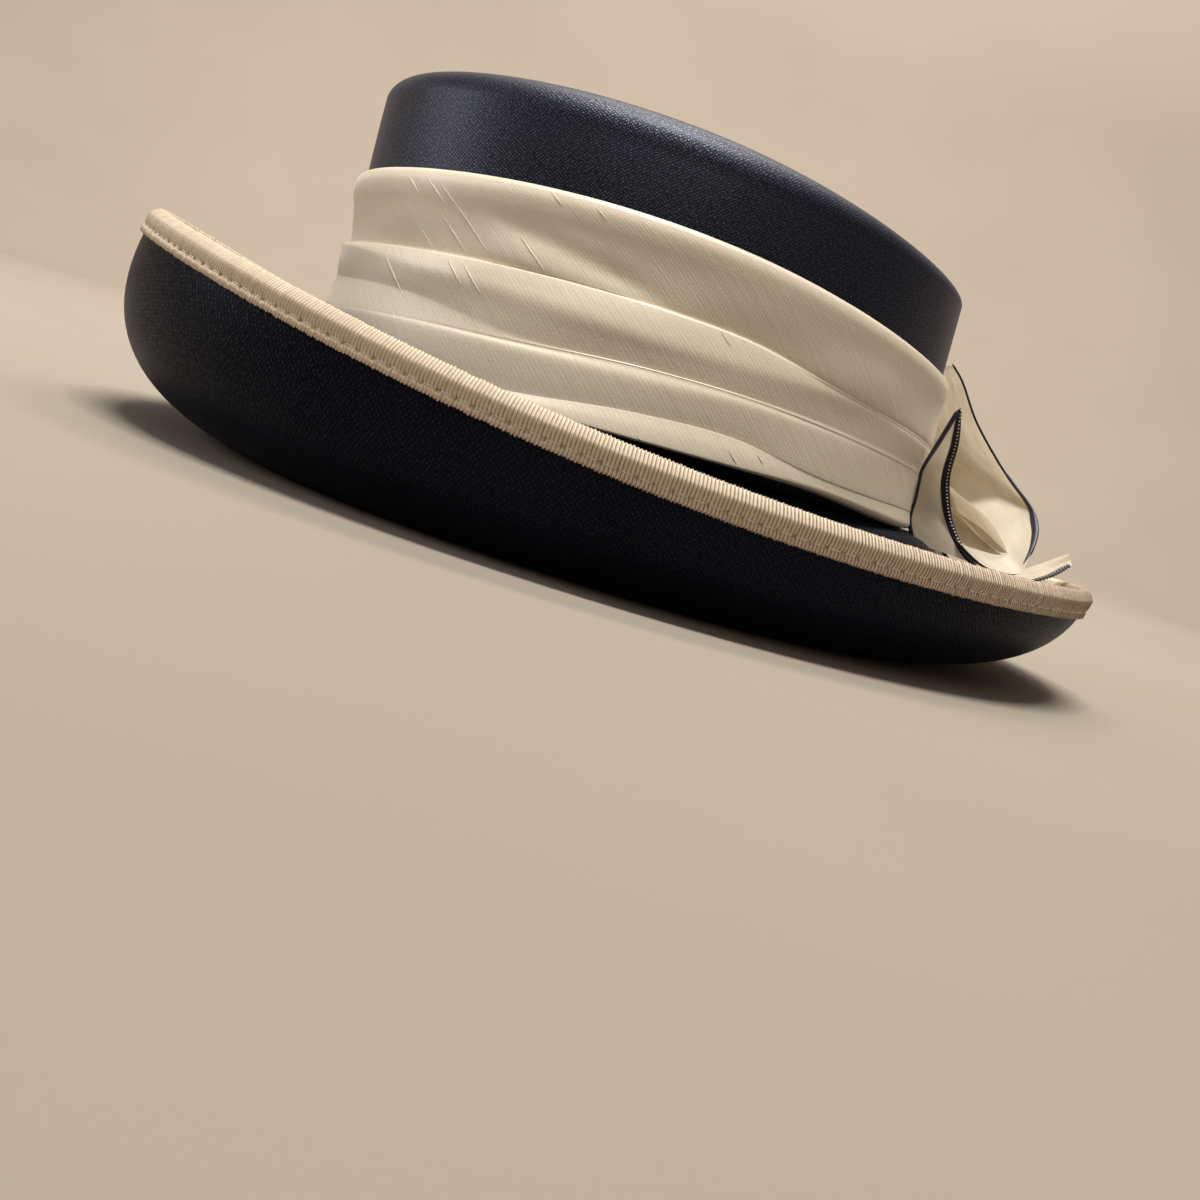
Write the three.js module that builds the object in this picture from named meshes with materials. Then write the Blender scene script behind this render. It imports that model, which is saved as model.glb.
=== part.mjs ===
// A navy boater hat whose brim is turned up all round: a flat-topped oval crown, a brim bound in ribbed
// cream ribbon, a draped cream band and a bow at the centre back. Millimetres, +Z up, front at -X.
// The hat stands on the flat ring under its brim, and the origin is the middle of that ring.

import * as THREE from 'three';

// Cloth thicknesses and the clearance between neighbouring pieces.
const CROWN_WALL = 1.6;
const BRIM_WALL = 2.0;
const RIBBON_WALL = 0.8;
const BOW_WALL = 1.2;
const GAP = 0.3;

// How finely the round shapes are cut.
const STEPS_ROUND = 60;
const STEPS_BRIM_DIP = 4;
const STEPS_BRIM_CURL = 5;
const STEPS_BOW_LENGTH = 16;
const STEPS_BOW_WIDTH = 3;

// A ring round the hat: how far it reaches from the middle at the front, at both sides and at the back,
// its height there, and how much higher it is at the near side (-Y) than at the middle.
const CROWN_RINGS = {
  lowerEdge: { front: 99.0, side: 87.0, back: 100.2, zFront: 34.7, zSide: 37.6, zBack: 36.4, roll: 0 },
  bandTop: { front: 103.2, side: 86.2, back: 97.4, zFront: 94.7, zSide: 100.6, zBack: 87.1, roll: 0 },
  shoulder: { front: 103.9, side: 84.0, back: 96.2, zFront: 118.6, zSide: 118.0, zBack: 110.1, roll: 0 },
  topEdge: { front: 91.1, side: 74.5, back: 83.5, zFront: 127.6, zSide: 128.1, zBack: 115.0, roll: 0 },
};
const CROWN_TOP_CENTRE = new THREE.Vector3(-3.3, 0, 129.9);
const BAND_TOP_ON_WALL = 0.7;
const BAND_FOOT_ON_WALL = 0.04;

// The brim's outer face: it dips from the head opening to the ring that it stands on, then curls up.
const BRIM_RINGS = {
  headEdge: { front: 97.0, side: 85.4, back: 98.2, zFront: 31.9, zSide: 34.8, zBack: 33.6, roll: 0 },
  headEase: { front: 109.2, side: 97.0, back: 110.0, zFront: 32.0, zSide: 35.0, zBack: 34.0, roll: 0 },
  footEase: { front: 106.0, side: 100.0, back: 105.0, zFront: 0, zSide: 0, zBack: 0, roll: 0 },
  footInner: { front: 117.6, side: 111.3, back: 116.5, zFront: 0, zSide: 0, zBack: 0, roll: 0 },
  footOuter: { front: 122.6, side: 116.3, back: 121.5, zFront: 0, zSide: 0, zBack: 0, roll: 0 },
  curlEase: { front: 179.4, side: 142.5, back: 164.0, zFront: 12.1, zSide: 3.2, zBack: 9.3, roll: 0 },
  rim: { front: 161.6, side: 143.0, back: 164.8, zFront: 63.8, zSide: 34.7, zBack: 35.8, roll: 5.0 },
};

// The ribbon that binds the rim: how far it comes down each face of the brim.
const BINDING_DEPTH = 8.8;

// Lines round the draped band, from its lower edge up, at stations round the hat in degrees from the front.
// Height is a fraction of the band's width and out is how far the line stands off the crown.
const BAND_TURNS = [0, 20, 45, 70, 90, 105, 121, 150, 180];
const BAND_LINES = [
  {
    name: 'lower edge',
    height: [-0.02, -0.03, -0.034, -0.036, -0.03, -0.02, -0.013, -0.01, -0.01],
    out: [1.5, 1.5, 1.5, 1.5, 1.5, 1.5, 1.5, 1.5, 1.5],
  },
  {
    name: 'low pleat foot',
    height: [-0.005, -0.015, -0.02, -0.024, -0.016, -0.004, 0.01, 0.01, 0.01],
    out: [5.8, 6.6, 7.7, 7.6, 7.4, 5.6, 3, 2.2, 1.6],
  },
  {
    name: 'low pleat fold',
    height: [0.02, 0.02, 0.01, 0.012, 0.07, 0.094, 0.06, 0.06, 0.06],
    out: [5.2, 5.8, 6.5, 6.4, 5.8, 4.3, 2.8, 2.7, 1.9],
  },
  {
    name: 'middle pleat face',
    height: [0.18, 0.18, 0.18, 0.18, 0.205, 0.24, 0.26, 0.27, 0.27],
    out: [4.5, 5.2, 5.7, 5.9, 5.6, 4.1, 2.5, 3.4, 3.3],
  },
  {
    name: 'middle pleat fold',
    height: [0.22, 0.212, 0.204, 0.208, 0.246, 0.27, 0.285, 0.3, 0.3],
    out: [4.3, 5, 5.5, 4.9, 4.5, 3.4, 2.4, 3.6, 3.4],
  },
  {
    name: 'valley',
    height: [0.38, 0.355, 0.318, 0.235, 0.262, 0.288, 0.31, 0.33, 0.33],
    out: [1.8, 2.5, 3.5, 5.1, 4.9, 3.6, 2.4, 3.6, 3.4],
  },
  {
    name: 'upper pleat face',
    height: [0.54, 0.52, 0.45, 0.4, 0.386, 0.41, 0.45, 0.46, 0.46],
    out: [3, 3.4, 4.2, 4.8, 4.8, 3.6, 2.4, 3.6, 3.4],
  },
  {
    name: 'upper pleat fold',
    height: [0.575, 0.556, 0.534, 0.525, 0.528, 0.534, 0.5, 0.5, 0.5],
    out: [2.8, 2.8, 2.5, 2.2, 2, 1.9, 2.2, 3.5, 3.3],
  },
  {
    name: 'panel foot',
    height: [0.587, 0.568, 0.546, 0.537, 0.54, 0.546, 0.512, 0.512, 0.512],
    out: [1.3, 1.3, 1.3, 1.6, 1.3, 1.3, 2, 3.2, 3],
  },
  {
    name: 'top panel',
    height: [0.775, 0.765, 0.753, 0.75, 0.751, 0.753, 0.732, 0.73, 0.75],
    out: [1.9, 1.7, 1.5, 1.4, 1.5, 1.6, 2, 2.6, 2.6],
  },
  {
    name: 'rolled top',
    height: [0.885, 0.884, 0.882, 0.884, 0.884, 0.882, 0.875, 0.87, 0.91],
    out: [3.4, 3.2, 2.9, 2.6, 2.5, 2.4, 2.4, 2.8, 3.4],
  },
  {
    name: 'top bend',
    height: [0.955, 0.954, 0.952, 0.954, 0.954, 0.952, 0.945, 0.94, 0.98],
    out: [2.9, 2.7, 2.4, 2.1, 2, 1.9, 1.9, 2.3, 2.9],
  },
  {
    name: 'top edge',
    height: [0.975, 0.974, 0.972, 0.974, 0.974, 0.972, 0.965, 0.96, 1],
    out: [1.3, 1.3, 1.3, 1.3, 1.3, 1.3, 1.3, 1.6, 2.2],
  },
];
const BAND_LINING_HEIGHTS = [0.96, 0.5, 0.0];

// The bow's ribbons as seen from the side: x and z along each one, y of its near and far edges, and how far
// its middle stands behind its edges, where it lies against the round of the crown.
const BOW_LOOP = [
  { x: 97.4, z: 88.5, near: -22, far: 20, middle: 3.6 },
  { x: 101.5, z: 86.0, near: -24, far: 22, middle: 3.0 },
  { x: 107.7, z: 78.8, near: -26, far: 24, middle: 2.0 },
  { x: 113.1, z: 73.1, near: -28, far: 26, middle: 1.2 },
  { x: 120.4, z: 66.9, near: -30, far: 28, middle: 0.6 },
  { x: 128.0, z: 60.3, near: -31, far: 29, middle: 0 },
  { x: 137.5, z: 50.0, near: -31, far: 29, middle: 0 },
  { x: 140.6, z: 42.0, near: -31, far: 29, middle: 0 },
  { x: 138.5, z: 34.6, near: -30, far: 28, middle: 0 },
  { x: 131.5, z: 31.8, near: -27, far: 26, middle: 0 },
  { x: 122.0, z: 34.2, near: -24, far: 23, middle: 0.8 },
  { x: 111.5, z: 40.5, near: -20, far: 20, middle: 1.6 },
  { x: 101.6, z: 46.5, near: -18, far: 18, middle: 2.4 },
];
const BOW_INNER_LOOP = [
  { x: 101.6, z: 62.0, near: -18, far: 18, middle: 2.4 },
  { x: 110.5, z: 61.0, near: -20, far: 20, middle: 1.6 },
  { x: 119.5, z: 55.5, near: -24, far: 22, middle: 0.8 },
  { x: 128.5, z: 46.5, near: -25, far: 23, middle: 0 },
  { x: 128.5, z: 40.5, near: -24, far: 22, middle: 0 },
  { x: 121.5, z: 41.5, near: -22, far: 20, middle: 0.8 },
  { x: 111.0, z: 48.5, near: -18, far: 18, middle: 1.6 },
  { x: 101.6, z: 54.5, near: -16, far: 16, middle: 2.0 },
];
const BOW_TAIL_BACK = [
  { x: 101.8, z: 40.4, near: -12, far: 12, middle: 0.9 },
  { x: 111.0, z: 36.6, near: -13, far: 15, middle: 0.5 },
  { x: 123.0, z: 28.5, near: -14, far: 18, middle: 0 },
  { x: 136.0, z: 26.0, near: -13, far: 20, middle: 0 },
  { x: 148.5, z: 30.0, near: -9, far: 20, middle: 0 },
  { x: 156.0, z: 35.8, near: -3, far: 18, middle: 0 },
  { x: 160.6, z: 42.5, near: 5, far: 12, middle: 0 },
];
// The near tail is a pointed leaf that stands against the band: both of its edges, from its foot to its tip.
const BOW_LEAF = [
  { left: [102.5, -40.0, 33.6], right: [122.8, -32.0, 33.2] },
  { left: [96.9, -40.0, 40.6], right: [115.5, -32.0, 37.9] },
  { left: [94.9, -40.0, 47.2], right: [109.6, -32.0, 44.5] },
  { left: [93.4, -40.0, 53.2], right: [105.1, -32.5, 53.2] },
  { left: [93.0, -40.0, 57.5], right: [103.2, -33.0, 59.4] },
  { left: [95.0, -39.0, 67.0], right: [101.8, -34.5, 68.5] },
  { left: [98.3, -37.0, 76.5], right: [99.6, -36.0, 77.5] },
];

const EDGING_RADIUS = 0.9;
const EDGING_SIDES = 3;

const NAVY = 0x1b2038;
const CREAM_SILK = 0xe6dfcb;
const CREAM_RIBBON = 0xe4d9c2;
const EDGING_NAVY = 0x20264a;

// Blends a value at the front, the sides and the back round the hat: 0 is the back, pi the front.
function blendRound(front, side, back, angle) {
  const c = Math.cos(angle);
  return (front * c * (c - 1)) / 2 + side * (1 - c * c) + (back * c * (c + 1)) / 2;
}

function ringPoint(ring, angle) {
  const c = Math.cos(angle);
  const s = Math.sin(angle);
  const height = blendRound(ring.zFront, ring.zSide, ring.zBack, angle) - ring.roll * s;
  return new THREE.Vector3((c < 0 ? ring.front : ring.back) * c, ring.side * s, height);
}

// A point on the crown's wall: 0 is its lower edge and 1 the start of its rounded shoulder.
function crownWall(up, angle) {
  const low = ringPoint(CROWN_RINGS.lowerEdge, angle);
  const middle = ringPoint(CROWN_RINGS.bandTop, angle);
  const high = ringPoint(CROWN_RINGS.shoulder, angle);
  const m = BAND_TOP_ON_WALL;
  return new THREE.Vector3()
    .addScaledVector(low, ((up - m) * (up - 1)) / m)
    .addScaledVector(middle, (up * (up - 1)) / (m * (m - 1)))
    .addScaledVector(high, (up * (up - m)) / (1 - m));
}

// The rounded shoulder: a quarter ellipse that leaves the wall upwards and meets the top level.
function crownShoulder(turn, angle) {
  const wall = ringPoint(CROWN_RINGS.shoulder, angle);
  const top = ringPoint(CROWN_RINGS.topEdge, angle);
  const inward = 1 - Math.cos((turn * Math.PI) / 2);
  const upward = Math.sin((turn * Math.PI) / 2);
  return new THREE.Vector3(
    THREE.MathUtils.lerp(wall.x, top.x, inward),
    THREE.MathUtils.lerp(wall.y, top.y, inward),
    THREE.MathUtils.lerp(wall.z, top.z, upward),
  );
}

// The gently domed top, from its edge (0) to its centre (1).
function crownTop(inward, angle) {
  const edge = ringPoint(CROWN_RINGS.topEdge, angle);
  const point = edge.clone().lerp(CROWN_TOP_CENTRE, inward);
  const outward = 1 - inward;
  point.z = THREE.MathUtils.lerp(CROWN_TOP_CENTRE.z, edge.z, outward * outward);
  return point;
}

// The crown's outer face from its lower edge (0) over the shoulder to the centre of its top (3).
function crownSurface(along, angle) {
  if (along <= 1) return crownWall(along, angle);
  if (along <= 2) return crownShoulder(along - 1, angle);
  return crownTop(along - 2, angle);
}

// The brim's outer face: dip (0 to 1), flat standing ring (1 to 2) and curl up to the rim (2 to 3).
function brimSurface(along, angle) {
  const ring = (name) => ringPoint(BRIM_RINGS[name], angle);
  if (along <= 1) {
    const dip = new THREE.CubicBezierCurve3(
      ring('headEdge'), ring('headEase'), ring('footEase'), ring('footInner'));
    return dip.getPoint(along);
  }
  if (along <= 2) return ring('footInner').lerp(ring('footOuter'), along - 1);
  const curl = new THREE.QuadraticBezierCurve3(ring('footOuter'), ring('curlEase'), ring('rim'));
  return curl.getPoint(along - 2);
}

// The unit normal of a surface by small differences, on the side where along cross round points.
function surfaceNormal(surface, a, b, low = 0, high = Infinity) {
  const step = 1e-3;
  const a0 = Math.max(low, a - step);
  const a1 = Math.min(high, a + step);
  const alongA = surface(a1, b).sub(surface(a0, b));
  const alongB = surface(a, b + step).sub(surface(a, b - step));
  return alongB.cross(alongA).normalize();
}

function offsetPoint(surface, a, b, distance, low, high) {
  return surface(a, b).addScaledVector(surfaceNormal(surface, a, b, low, high), distance);
}

function anglesRound() {
  return Array.from({ length: STEPS_ROUND }, (_, i) => (2 * Math.PI * i) / STEPS_ROUND);
}

function spread(from, to, count) {
  return Array.from({ length: count + 1 }, (_, i) => from + ((to - from) * i) / count);
}

// A closed geometry whose faces all look outwards, whichever way its triangles were listed.
function solidGeometry(points, triangles) {
  let sixVolumes = 0;
  for (const [a, b, c] of triangles) {
    sixVolumes += points[a].dot(points[b].clone().cross(points[c]));
  }
  const faces = sixVolumes < 0 ? triangles.map(([a, b, c]) => [a, c, b]) : triangles;
  const geometry = new THREE.BufferGeometry().setFromPoints(points);
  geometry.setIndex(faces.flat());
  geometry.computeVertexNormals();
  return geometry;
}

function quad(a, b, c, d) {
  return [[a, b, c], [a, c, d]];
}

// A ring-shaped solid: one closed section of points for each angle, joined right round.
function ringSolid(sections) {
  const count = sections[0].length;
  const index = (i, j) => (i % sections.length) * count + (j % count);
  const triangles = [];
  for (let i = 0; i < sections.length; i += 1) {
    for (let j = 0; j < count; j += 1) {
      triangles.push(...quad(index(i, j), index(i + 1, j), index(i + 1, j + 1), index(i, j + 1)));
    }
  }
  return solidGeometry(sections.flat(), triangles);
}

// A cap-shaped solid: rings listed from the outer middle, round the lower edge, to the inner middle.
function capSolid(outerMiddle, rings, innerMiddle) {
  const count = rings[0].length;
  const points = [outerMiddle, ...rings.flat(), innerMiddle];
  const index = (i, j) => 1 + i * count + (j % count);
  const last = points.length - 1;
  const triangles = [];
  for (let j = 0; j < count; j += 1) {
    triangles.push([0, index(0, j), index(0, j + 1)]);
    for (let i = 0; i < rings.length - 1; i += 1) {
      triangles.push(...quad(index(i, j), index(i + 1, j), index(i + 1, j + 1), index(i, j + 1)));
    }
    triangles.push([last, index(rings.length - 1, j + 1), index(rings.length - 1, j)]);
  }
  return solidGeometry(points, triangles);
}

// A sheet with a thickness: a surface of (length, width) from 0 to 1, grown equally on both of its faces.
function sheetSolid(surface, lengthSteps, widthSteps, wall) {
  const lengths = spread(0, 1, lengthSteps);
  const widths = spread(0, 1, widthSteps);
  const columns = widthSteps + 1;
  const face = (distance) =>
    lengths.flatMap((u) => widths.map((v) => offsetPoint(surface, u, v, distance, 0, 1)));
  const points = [...face(wall / 2), ...face(-wall / 2)];
  const under = columns * lengths.length;
  const index = (i, j) => i * columns + j;
  const triangles = [];
  for (let i = 0; i < lengthSteps; i += 1) {
    for (let j = 0; j < widthSteps; j += 1) {
      const corners = [index(i, j), index(i + 1, j), index(i + 1, j + 1), index(i, j + 1)];
      triangles.push(...quad(...corners));
      triangles.push(...quad(...corners.map((k) => k + under).reverse()));
    }
  }
  const rows = spread(0, lengthSteps - 1, lengthSteps - 1);
  const places = spread(0, widthSteps - 1, widthSteps - 1);
  const border = [
    ...rows.map((i) => [index(i + 1, 0), index(i, 0)]),
    ...places.map((j) => [index(0, j), index(0, j + 1)]),
    ...rows.map((i) => [index(i, widthSteps), index(i + 1, widthSteps)]),
    ...places.map((j) => [index(lengthSteps, j + 1), index(lengthSteps, j)]),
  ];
  for (const [a, b] of border) triangles.push(...quad(a, b, b + under, a + under));
  return solidGeometry(points, triangles);
}

function makeCrown() {
  const heights = [...spread(0, 1, 4), ...spread(1.25, 2, 3), 2.5];
  const ringAt = (along, distance) =>
    anglesRound().map((angle) => offsetPoint(crownSurface, along, angle, distance, 0, 3));
  const outer = heights.map((along) => ringAt(along, 0));
  const inner = heights.map((along) => ringAt(along, -CROWN_WALL));
  const innerMiddle = CROWN_TOP_CENTRE.clone();
  innerMiddle.z -= CROWN_WALL;
  return capSolid(CROWN_TOP_CENTRE, [...outer.reverse(), ...inner], innerMiddle);
}

// How far along the brim's section a place lies that is a given distance down from the rim.
function alongBelowRim(distance, angle) {
  const rim = brimSurface(3, angle);
  let low = 2;
  let high = 3;
  for (let i = 0; i < 24; i += 1) {
    const middle = (low + high) / 2;
    if (brimSurface(middle, angle).distanceTo(rim) > distance) low = middle;
    else high = middle;
  }
  return (low + high) / 2;
}

// The places along the brim's section that the ribbon covers, from its edge up to the rim.
function boundStations(angle) {
  return [alongBelowRim(BINDING_DEPTH, angle), alongBelowRim(BINDING_DEPTH / 2, angle), 3];
}

function makeBrim() {
  const section = (angle) => {
    const bound = boundStations(angle);
    const alongs = [
      ...spread(0, 1, STEPS_BRIM_DIP),
      ...spread(2, bound[0], STEPS_BRIM_CURL),
      ...bound.slice(1),
    ];
    const outer = alongs.map((along) => brimSurface(along, angle));
    const inner = alongs.map((along) => offsetPoint(brimSurface, along, angle, -BRIM_WALL, 0, 3));
    return [...outer, ...inner.reverse()];
  };
  return ringSolid(anglesRound().map(section));
}

// The folded ribbon: up the outer face, over the rim and down the inner face.
function makeBinding() {
  const section = (angle) => {
    const bound = boundStations(angle);
    const upward = brimSurface(3, angle).sub(brimSurface(2.99, angle)).normalize();
    const leg = (distance, rise) => bound.map((along) => {
      const point = offsetPoint(brimSurface, along, angle, distance, 0, 3);
      return along === 3 ? point.addScaledVector(upward, rise) : point;
    });
    const clear = GAP;
    const full = GAP + RIBBON_WALL;
    return [
      ...leg(full, full),
      ...leg(-BRIM_WALL - full, full).reverse(),
      ...leg(-BRIM_WALL - clear, clear),
      ...leg(clear, clear).reverse(),
    ];
  };
  return ringSolid(anglesRound().map(section));
}

// A measure of the band read round the hat, on a smooth curve that is level at the front and the back.
function roundBand(values) {
  const curve = new THREE.CubicInterpolant(BAND_TURNS, values, 1);
  curve.settings = { endingStart: THREE.ZeroSlopeEnding, endingEnd: THREE.ZeroSlopeEnding };
  return (angle) => curve.evaluate(Math.abs(THREE.MathUtils.radToDeg(angle - Math.PI)))[0];
}

function makeBand() {
  const wallHeight = (fraction) =>
    THREE.MathUtils.lerp(BAND_FOOT_ON_WALL, BAND_TOP_ON_WALL, fraction);
  const lines = BAND_LINES.map((line) => ({ height: roundBand(line.height), out: roundBand(line.out) }));
  const section = (angle) => {
    const outer = lines.map((line) =>
      offsetPoint(crownWall, wallHeight(line.height(angle)), angle, line.out(angle), 0, 1));
    const lining = BAND_LINING_HEIGHTS.map((fraction) =>
      offsetPoint(crownWall, wallHeight(fraction), angle, GAP, 0, 1));
    return [...outer, ...lining];
  };
  return ringSolid(anglesRound().map(section));
}

// The surface of a bow ribbon whose rows give its side view, its two edges and its middle.
function ribbonSurface(rows) {
  const curve = (place) => new THREE.CatmullRomCurve3(rows.map(place));
  const near = curve((row) => new THREE.Vector3(row.x, row.near, row.z));
  const middle = curve((row) => new THREE.Vector3(row.x + row.middle, (row.near + row.far) / 2, row.z));
  const far = curve((row) => new THREE.Vector3(row.x, row.far, row.z));
  return (length, width) => new THREE.Vector3()
    .addScaledVector(near.getPoint(length), (1 - width) * (1 - 2 * width))
    .addScaledVector(middle.getPoint(length), 4 * width * (1 - width))
    .addScaledVector(far.getPoint(length), width * (2 * width - 1));
}

function leafSurface(rows) {
  const left = new THREE.CatmullRomCurve3(rows.map((row) => new THREE.Vector3(...row.left)));
  const right = new THREE.CatmullRomCurve3(rows.map((row) => new THREE.Vector3(...row.right)));
  return (length, width) => left.getPoint(length).lerp(right.getPoint(length), width);
}

function makeBowSheet(surface) {
  return sheetSolid(surface, STEPS_BOW_LENGTH, STEPS_BOW_WIDTH, BOW_WALL);
}

// A thin bound edge: a round strip that runs just outside one edge of a bow ribbon.
function makeEdging(surface, width) {
  const outward = width === 0 ? -1 : 1;
  const beside = EDGING_RADIUS + GAP;
  const lengths = spread(0, 1, STEPS_BOW_LENGTH);
  const edge = new THREE.CatmullRomCurve3(lengths.map((length) => surface(length, width)));
  const points = lengths.map((length) => {
    const tangent = edge.getTangent(length);
    const across = surface(length, 1).sub(surface(length, 0));
    across.addScaledVector(tangent, -across.dot(tangent)).normalize();
    return surface(length, width).addScaledVector(across, outward * beside);
  });
  const circle = new THREE.Shape().absarc(0, 0, EDGING_RADIUS, 0, 2 * Math.PI);
  return new THREE.ExtrudeGeometry(circle, {
    steps: STEPS_BOW_LENGTH,
    curveSegments: EDGING_SIDES,
    bevelEnabled: false,
    extrudePath: new THREE.CatmullRomCurve3(points),
  });
}

function fabric(color, roughness) {
  return new THREE.MeshStandardMaterial({ color, roughness, metalness: 0 });
}

const navyCloth = fabric(NAVY, 0.55);
const creamSilk = fabric(CREAM_SILK, 0.5);
const creamRibbon = fabric(CREAM_RIBBON, 0.75);
const navyEdging = fabric(EDGING_NAVY, 0.7);

const loopSurface = ribbonSurface(BOW_LOOP);
const innerLoopSurface = ribbonSurface(BOW_INNER_LOOP);
const tailBackSurface = ribbonSurface(BOW_TAIL_BACK);
const leaf = leafSurface(BOW_LEAF);

const hat = new THREE.Group();
hat.name = 'boater_hat';

function addPiece(name, geometry, material) {
  const mesh = new THREE.Mesh(geometry, material);
  mesh.name = name;
  hat.add(mesh);
}

addPiece('crown', makeCrown(), navyCloth);
addPiece('brim', makeBrim(), navyCloth);
addPiece('rim_binding', makeBinding(), creamRibbon);
addPiece('band', makeBand(), creamSilk);
addPiece('bow_loop', makeBowSheet(loopSurface), creamSilk);
addPiece('bow_inner_loop', makeBowSheet(innerLoopSurface), creamSilk);
addPiece('bow_tail_near', makeBowSheet(leaf), creamSilk);
addPiece('bow_tail_back', makeBowSheet(tailBackSurface), creamSilk);
addPiece('bow_loop_edging_near', makeEdging(loopSurface, 0), navyEdging);
addPiece('bow_loop_edging_far', makeEdging(loopSurface, 1), navyEdging);
addPiece('bow_tail_near_edging', makeEdging(leaf, 1), navyEdging);
addPiece('bow_tail_back_edging', makeEdging(tailBackSurface, 0), navyEdging);

export default hat;
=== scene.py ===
"""A navy boater hat with an upturned brim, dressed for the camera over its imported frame.

Blender works in metres. The tables below are in millimetres in the hat's own frame: +Z up, front at -X,
the bow at +X, the side that the camera sees at -Y, and height 0 at the surface that the hat stands on.
"""

import math
from collections import namedtuple

import bmesh
import bpy
import numpy as np
from mathutils import Matrix, Vector


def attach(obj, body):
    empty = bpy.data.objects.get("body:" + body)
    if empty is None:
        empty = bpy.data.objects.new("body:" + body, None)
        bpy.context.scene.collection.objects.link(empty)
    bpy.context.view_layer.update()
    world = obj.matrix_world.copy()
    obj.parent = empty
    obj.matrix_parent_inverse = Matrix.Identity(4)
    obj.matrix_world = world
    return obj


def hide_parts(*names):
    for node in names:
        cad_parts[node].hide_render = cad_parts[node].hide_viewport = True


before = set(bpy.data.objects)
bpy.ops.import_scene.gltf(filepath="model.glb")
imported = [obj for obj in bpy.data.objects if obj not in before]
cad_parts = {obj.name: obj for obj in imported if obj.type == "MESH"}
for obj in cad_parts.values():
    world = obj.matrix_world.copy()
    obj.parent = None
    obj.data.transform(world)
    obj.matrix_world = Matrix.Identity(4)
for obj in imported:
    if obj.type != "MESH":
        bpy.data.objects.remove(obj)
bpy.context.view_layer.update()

MM = 0.001
MERGE = 0.002 * MM
SEED = 11

# Cloth thicknesses.
CROWN_WALL = 1.6
BRIM_WALL = 2.0

# A ring round the hat: its reach from the middle at the front, the sides and the back, its height there,
# and how much higher it is at the near side than at the middle.
Ring = namedtuple("Ring", "front side back z_front z_side z_back roll", defaults=(0.0,))

CROWN_LOWER_EDGE = Ring(99.0, 87.0, 100.2, 34.7, 37.6, 36.4)
CROWN_BAND_TOP = Ring(103.2, 86.2, 97.4, 94.7, 100.6, 87.1)
CROWN_SHOULDER = Ring(103.9, 84.0, 96.2, 118.6, 118.0, 110.1)
CROWN_TOP_EDGE = Ring(91.1, 74.5, 83.5, 127.6, 128.1, 115.0)
CROWN_TOP_CENTRE = np.array([-3.3, 0.0, 129.9])
CROWN_GIRTH = 590.0
CROWN_WALL_LENGTH = 82.0
CROWN_SHOULDER_LENGTH = 20.0
CROWN_MEAN_RADIUS = 93.0
CROWN_COLUMNS = 180
BAND_TOP_ON_WALL = 0.7
BAND_FOOT_ON_WALL = 0.04

# The brim's outer face dips from the head opening to the ring it stands on, then curls up to the rim.
BRIM_HEAD_EDGE = Ring(97.0, 85.4, 98.2, 31.9, 34.8, 33.6)
BRIM_HEAD_EASE = Ring(109.2, 97.0, 110.0, 32.0, 35.0, 34.0)
BRIM_FOOT_EASE = Ring(106.0, 100.0, 105.0, 0.0, 0.0, 0.0)
BRIM_FOOT_INNER = Ring(117.6, 111.3, 116.5, 0.0, 0.0, 0.0)
BRIM_FOOT_OUTER = Ring(122.6, 116.3, 121.5, 0.0, 0.0, 0.0)
BRIM_CURL_EASE = Ring(179.4, 142.5, 164.0, 12.1, 3.2, 9.3)
BRIM_RIM = Ring(161.6, 143.0, 164.8, 63.8, 34.7, 35.8, 5.0)
BRIM_GIRTH = 880.0
BRIM_SECTION_LENGTH = 130.0
# Places along the brim's section: where its curl starts, just below the rim, and the rim.
CURL_START = 2.0
BELOW_RIM = 2.97
CURL_END = 3.0
# Round the back the brim's roll is broader and higher: from and to which degrees from the front this
# comes in, by how many millimetres, and the reach from the middle at which they are measured.
ROLL_BROAD_FROM = 122.0
ROLL_BROAD_TO = 154.0
ROLL_BROADER = 19.0
ROLL_RISE = 6.0
ROLL_REACH = 110.0

# The ribbed ribbon folded over the rim. Each row of its section gives how far below the rim it lies along
# the brim, how far off the brim's outer face, and how much its ribs swell outwards and upwards there. The
# outer face is upright, and the fold above its crease leans inwards, so that light falls on it.
RIB_PITCH = 1.05
RIB_SWELL = 0.45
RIB_UNEVENNESS = 0.16
RIB_COLUMNS = 5
RibbonRow = namedtuple("RibbonRow", "down off swell_out swell_up")
RIBBON_SECTION = [
    RibbonRow(8.6, 0.15, 0.2, 0.0),
    RibbonRow(8.75, 0.55, 0.5, -1.3),
    RibbonRow(8.5, 1.0, 1.0, -1.0),
    RibbonRow(7.7, 1.05, 1.0, 0.0),
    RibbonRow(7.1, 0.9, 0.8, 0.0),
    RibbonRow(6.7, 0.6, 0.5, 0.0),
    RibbonRow(6.3, 0.85, 0.8, 0.0),
    RibbonRow(5.4, 1.0, 1.0, 0.0),
    RibbonRow(4.0, 1.05, 1.0, 0.0),
    RibbonRow(3.1, 1.05, 1.0, 0.0),
    RibbonRow(2.75, 0.85, 0.9, 0.3),
    RibbonRow(1.9, 0.1, 0.7, 0.7),
    RibbonRow(1.0, -0.75, 0.7, 0.7),
    RibbonRow(0.55, -1.35, 0.5, 0.8),
    RibbonRow(0.4, -2.0, 0.0, 1.0),
    RibbonRow(0.75, -2.7, -0.7, 0.7),
    RibbonRow(1.8, -3.1, -1.0, 0.0),
    RibbonRow(5.0, -3.1, -1.0, 0.0),
    RibbonRow(8.4, -3.0, -1.0, 0.0),
    RibbonRow(8.8, -2.6, -0.5, -0.5),
    RibbonRow(8.6, -2.15, -0.2, 0.0),
]
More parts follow.
